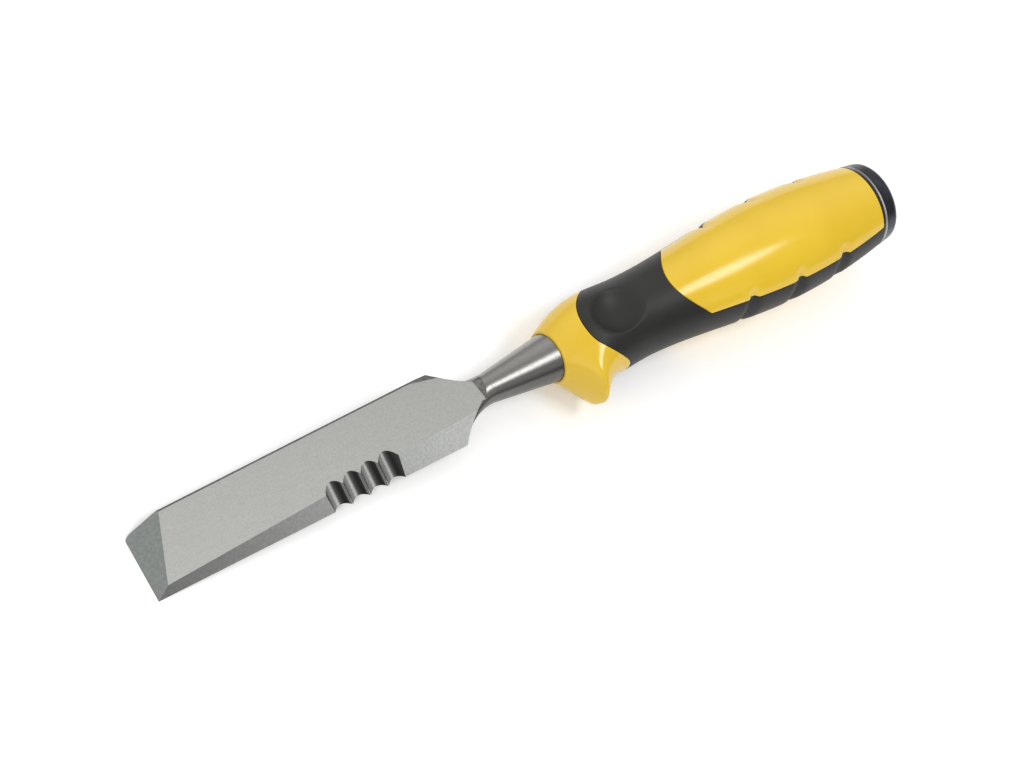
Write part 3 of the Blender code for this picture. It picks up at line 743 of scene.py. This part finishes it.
def paintedShadeAlong(nodes, links, place, colour, axis, low, high):  # scale a colour along an axis: a painted gradient of light and shade
    parts = nodes.new("ShaderNodeSeparateXYZ")
    links.new(place, parts.inputs[0])
    level = nodes.new("ShaderNodeMapRange")
    for socket, value in zip(("From Min", "To Min", "From Max", "To Max"), (*low, *high)):
        level.inputs[socket].default_value = value
    links.new(parts.outputs[axis], level.inputs["Value"])
    scaled = nodes.new("ShaderNodeVectorMath")
    scaled.operation = 'SCALE'
    links.new(colour, scaled.inputs[0])
    links.new(level.outputs["Result"], scaled.inputs["Scale"])
    return scaled.outputs[0]


shoulderX = lipX + 45 * mm   # painted shade gradients along the blade start here
steelSet = {   # a fade, a painted gradient of light and shade, gives an axis, then place and level at both its ends
    # ground face: its fade paints shade, darker toward the shoulder
    "groundSteel": {"dark": (0.347, 0.347, 0.333), "pale": (0.393, 0.393, 0.376), "rough": (0.46, 0.52),
                    "speck": 1700, "lay": 260, "layWay": (1, 14, 1), "layDepth": 0.08,
                    "fade": ("X", (shoulderX, 0.85), (tipX, 1.0))},
    # end bevel: darker than the ground face, painted shade
    "shadedBevelSteel": {"dark": (0.23, 0.25, 0.24), "pale": (0.285, 0.305, 0.295), "rough": (0.34, 0.44),
                   "speck": 900, "lay": 260, "layWay": (1, 14, 1), "layDepth": 0.08},
    # side bevel: paler than the ground face, a painted highlight, and its fade paints shade toward the tip
    "litEdgeSteel": {"dark": (0.53, 0.54, 0.522), "pale": (0.665, 0.672, 0.652), "rough": (0.34, 0.42),
                  "speck": 1100, "lay": 260, "layWay": (14, 1, 1), "layDepth": 0.08,
                  "fade": ("X", (shoulderX, 1.12), (tipX, 0.66))},
    "scallopSteel": {"dark": (0.52, 0.52, 0.505), "pale": (0.62, 0.62, 0.60), "rough": (0.22, 0.28),
                     "speck": 1300, "lay": 300, "layWay": (14, 1, 1), "layDepth": 0.04},
    # spine, chamfer, facet and run-out: dark steel, painted shade
    "shadedSpineSteel": {"dark": (0.13, 0.13, 0.125), "pale": (0.21, 0.205, 0.195), "rough": (0.42, 0.52),
                   "speck": 700, "lay": 200, "layWay": (1, 1, 1), "layDepth": 0.1},
    # turned neck: its fade paints shade, darker toward +Y
    "turnedSteel": {"dark": (0.25, 0.245, 0.235), "pale": (0.29, 0.283, 0.27), "rough": (0.28, 0.34),
                    "speck": 1400, "lay": 900, "layWay": (6, 1, 1), "layDepth": 0.02,
                    "fade": ("Y", (-4 * mm, 1.2), (6.5 * mm, 0.5))},
    "darkSteel": {"dark": (0.042, 0.044, 0.053), "pale": (0.07, 0.072, 0.085), "rough": (0.3, 0.4),
                  "speck": 300, "lay": 700, "layWay": (1, 1, 1), "layDepth": 0.06},
    "glintChamferSteel": {"dark": (0.30, 0.30, 0.31), "pale": (0.42, 0.42, 0.43), "rough": (0.25, 0.35),
                    "speck": 900, "lay": 700, "layWay": (1, 1, 1), "layDepth": 0.06},
}
layRelief = 0.02 * mm
scallopShadeSet = {
    "ends": 0.03,   # the outer flanks of the row go on as they are
    "levels": [(0.0, 0.8), (0.025, 0.09), (0.16, 0.09), (0.28, 0.26), (0.4, 0.3), (0.5, 1.0), (0.76, 1.0),
               (0.88, 0.36)],   # painted shade and painted highlight across one scallop, from its neck side
}
mouldedSet = {
    "yellowPlastic": {"dark": (0.80, 0.52, 0.028), "pale": (0.85, 0.57, 0.036), "rough": (0.16, 0.21),
                      "cloud": 45, "tooth": 700, "toothDepth": 0.05, "gloss": 0.5},
    "blackRubber": {"dark": (0.019, 0.0185, 0.017), "pale": (0.025, 0.0245, 0.0225), "rough": (0.45, 0.53),
                    "cloud": 60, "tooth": 3200, "toothDepth": 0.2, "gloss": 0.36,
                    "fade": ("Y", (2 * mm, 1.0), (14 * mm, 0.35))},   # painted shade, darker on the finger side
}
toothRelief, toothDetail = 0.03 * mm, 2


def steel(name):  # metal with specks in its colour and a lay in its roughness
    s = steelSet[name]
    finish, nodes, links, shader, place = newFinish(name)
    shader.inputs["Metallic"].default_value = 1
    speck = grain(nodes, links, place, s["speck"])
    lay = grain(nodes, links, place, s["lay"], s["layWay"])
    colour = ramp(nodes, links, speck, [(noiseLow, s["dark"]), (noiseHigh, s["pale"])])
    if "fade" in s:
        colour = paintedShadeAlong(nodes, links, place, colour, *s["fade"])
    links.new(colour, shader.inputs["Base Color"])
    links.new(span(nodes, links, lay, *s["rough"]), shader.inputs["Roughness"])
    dent(nodes, links, shader, lay, s["layDepth"], layRelief)
    return finish


def paintScallopShade(finish):  # painted shade darkens each scallop on its neck side, and a painted highlight brightens a band past its middle
    f, s = scallopShadeSet, scallopSet
    nodes, links = finish.node_tree.nodes, finish.node_tree.links
    pitch = s["pitch"] * math.cos(s["skew"])
    middle = scallopAxes()[0][0]
    across = middle.x * math.cos(s["skew"]) + middle.y * math.sin(s["skew"])
    mapping = nodes.new("ShaderNodeMapping")
    mapping.inputs["Rotation"].default_value = (0, 0, -s["skew"])
    mapping.inputs["Scale"].default_value = (1 / pitch, 1 / pitch, 1 / pitch)
    mapping.inputs["Location"].default_value = (0.5 - across / pitch, 0, 0)
    place = nodes.new("ShaderNodeTexCoord")
    links.new(place.outputs["Object"], mapping.inputs["Vector"])
    parts = nodes.new("ShaderNodeSeparateXYZ")
    links.new(mapping.outputs["Vector"], parts.inputs[0])
    ends = nodes.new("ShaderNodeClamp")
    ends.inputs["Min"].default_value = f["ends"]
    ends.inputs["Max"].default_value = s["count"] - f["ends"]
    links.new(parts.outputs["X"], ends.inputs["Value"])
    part = nodes.new("ShaderNodeMath")
    part.operation = 'FRACT'
    links.new(ends.outputs[0], part.inputs[0])
    level = ramp(nodes, links, part.outputs[0], [(at, (grey,) * 3) for at, grey in f["levels"]])
    shader = nodes["Principled BSDF"]
    plain = shader.inputs["Base Color"].links[0].from_socket
    scaled = nodes.new("ShaderNodeVectorMath")
    scaled.operation = 'MULTIPLY'
    links.new(plain, scaled.inputs[0])
    links.new(level, scaled.inputs[1])
    links.new(scaled.outputs[0], shader.inputs["Base Color"])
    return finish


def moulded(name):  # plastic or rubber with clouds in its colour and a fine tooth
    m = mouldedSet[name]
    finish, nodes, links, shader, place = newFinish(name)
    cloud = grain(nodes, links, place, m["cloud"])
    tooth = grain(nodes, links, place, m["tooth"], detail=toothDetail)
    colour = ramp(nodes, links, cloud, [(noiseLow, m["dark"]), (noiseHigh, m["pale"])])
    if "fade" in m:
        colour = paintedShadeAlong(nodes, links, place, colour, *m["fade"])
    links.new(colour, shader.inputs["Base Color"])
    links.new(span(nodes, links, tooth, *m["rough"]), shader.inputs["Roughness"])
    shader.inputs["Specular IOR Level"].default_value = m["gloss"]
    dent(nodes, links, shader, tooth, m["toothDepth"], toothRelief)
    return finish


def dress(piece, node):
    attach(piece, "root")
    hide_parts(node)
    print(piece.name, len(piece.data.polygons), "faces")


bladeFinishes = [steel("groundSteel"), steel("shadedBevelSteel"), steel("litEdgeSteel"),
                 paintScallopShade(steel("scallopSteel")), steel("shadedSpineSteel"), steel("turnedSteel")]
blade = makeBlade(bladeFinishes)
dress(blade, "blade")
core = makeCore()
core.data.materials.append(moulded("yellowPlastic"))
dress(core, "handle_core")
grip = makeGrip()
grip.data.materials.append(moulded("blackRubber"))
dress(grip, "rubber_grip")
cap = makeCap()
cap.data.materials.append(steel("darkSteel"))
cap.data.materials.append(steel("glintChamferSteel"))
# a painted highlight on the front chamfer's forward faces
for face in cap.data.polygons:
    inRim = capX - capSet["glintReach"] < face.center.x < capX - touch
    face.material_index = 1 if inRim and face.normal.x > capSet["glintFacing"] else 0
dress(cap, "strike_cap")

# floor under the belly of the handle and the cutting edge
floorSet = {"size": 8.0, "colour": (0.9, 0.9, 0.9), "lift": 0.25}


def makeFloor():
    f = floorSet
    edge = Vector((tipX, 0, bladeSet["backZ"]))
    points = [point.co for piece in (grip, core) for point in piece.data.vertices]
    slope = max((edge.z - co.z) / (edge.x - co.x) for co in points)
    bpy.ops.mesh.primitive_plane_add(size=f["size"], location=edge, rotation=(0, -math.atan(slope), 0))
    floor = bpy.context.object
    floor.name = "floor"
    finish = bpy.data.materials.new("paleFloor")
    finish.use_nodes = True
    nodes = finish.node_tree.nodes
    links = finish.node_tree.links
    nodes.clear()
    out = nodes.new("ShaderNodeOutputMaterial")
    matte = nodes.new("ShaderNodeBsdfDiffuse")
    matte.inputs["Color"].default_value = (*f["colour"], 1)
    glow = nodes.new("ShaderNodeEmission")
    glow.inputs["Strength"].default_value = f["lift"]
    both = nodes.new("ShaderNodeAddShader")
    links.new(matte.outputs[0], both.inputs[0])
    links.new(glow.outputs[0], both.inputs[1])
    path = nodes.new("ShaderNodeLightPath")
    seen = path.outputs["Is Camera Ray"]
    for ray in ("Is Glossy Ray", "Is Transmission Ray"):
        either = nodes.new("ShaderNodeMath")
        either.operation = 'MAXIMUM'
        links.new(seen, either.inputs[0])
        links.new(path.outputs[ray], either.inputs[1])
        seen = either.outputs[0]
    pick = nodes.new("ShaderNodeMixShader")
    links.new(seen, pick.inputs["Fac"])
    links.new(matte.outputs[0], pick.inputs[1])
    links.new(both.outputs[0], pick.inputs[2])
    clear = nodes.new("ShaderNodeBsdfTransparent")  # seen from below, the floor lets the part show
    side = nodes.new("ShaderNodeNewGeometry")
    below = nodes.new("ShaderNodeMixShader")
    links.new(side.outputs["Backfacing"], below.inputs["Fac"])
    links.new(pick.outputs[0], below.inputs[1])
    links.new(clear.outputs[0], below.inputs[2])
    links.new(below.outputs[0], out.inputs["Surface"])
    floor.data.materials.append(finish)


makeFloor()
print("floor laid")

# soft studio light: a key box, a small card by the shoulder, and glows in a dim room
lampSet = {
    "keyBox": {"aim": (0.14, 0.0, 0.0), "place": (-0.25, 0.37, 1.07), "size": (0.36, 0.46), "power": 4.65},
    "card": {"aim": (0.19, 0.01, 0.0), "place": (0.061, 0.192, 0.1135), "size": (0.12, 0.12),
             "power": 0.03},
}
roomSet = {
    "dim": 0.066, "tight": 6.0,   # a tighter glow fades sooner
    "glows": [((-0.91, -0.19, 0.38), 0.52), ((0.10, -0.86, 0.51), 0.66), ((-0.51, -0.50, 0.70), 0.58),
              ((0.35, -0.42, 0.84), 0.52), ((-0.62, 0.53, 0.57), 0.1), ((0.75, 0.35, 0.56), 1.6)],
}


def makeLamps():
    for name, s in lampSet.items():
        way = Vector(s["place"]) - Vector(s["aim"])
        turn = way.to_track_quat('Z', 'X').to_euler()
        bpy.ops.object.light_add(type='AREA', location=s["place"], rotation=turn)
        lamp = bpy.context.object
        lamp.name = name
        lamp.data.shape = 'RECTANGLE'
        lamp.data.size, lamp.data.size_y = s["size"]
        lamp.data.energy = s["power"]
        lamp.visible_camera = False


def makeRoom():
    s = roomSet
    room = bpy.data.worlds.new("room")
    bpy.context.scene.world = room
    room.use_nodes = True
    nodes, links = room.node_tree.nodes, room.node_tree.links

    def reckon(operation, first, second):
        step = nodes.new("ShaderNodeMath")
        step.operation = operation
        for i, value in enumerate((first, second)):
            if isinstance(value, (int, float)):
                step.inputs[i].default_value = value
            else:
                links.new(value, step.inputs[i])
        return step.outputs[0]

    around = nodes.new("ShaderNodeTexCoord").outputs["Generated"]
    level = s["dim"]
    for way, strength in s["glows"]:   # each glow fades with the angle from its middle
        toward = nodes.new("ShaderNodeVectorMath")
        toward.operation = 'DOT_PRODUCT'
        toward.inputs[1].default_value = Vector(way).normalized()
        links.new(around, toward.inputs[0])
        away = reckon('MULTIPLY', reckon('SUBTRACT', toward.outputs["Value"], 1.0), s["tight"])
        level = reckon('ADD', reckon('MULTIPLY', reckon('POWER', math.e, away), strength), level)
    links.new(level, nodes["Background"].inputs["Strength"])
    nodes["Background"].inputs["Color"].default_value = (1, 1, 1, 1)


makeLamps()
makeRoom()
print("lamps set")

# camera at the photograph's angle
cameraSet = {"place": (0.95755, 0.37389, 1.30392), "turn": (29.2142, -18.2768, 144.2395), "lens": 171.387,
             "sensor": 36, "clip": (0.05, 50)}


def makeCamera():
    c = cameraSet
    bpy.ops.object.camera_add(location=c["place"], rotation=[math.radians(a) for a in c["turn"]])
    camera = bpy.context.object
    camera.data.sensor_width = c["sensor"]
    camera.data.lens = c["lens"]
    camera.data.clip_start, camera.data.clip_end = c["clip"]
    bpy.context.scene.camera = camera


makeCamera()
bpy.context.scene.view_settings.view_transform = 'Standard'
print("camera set")
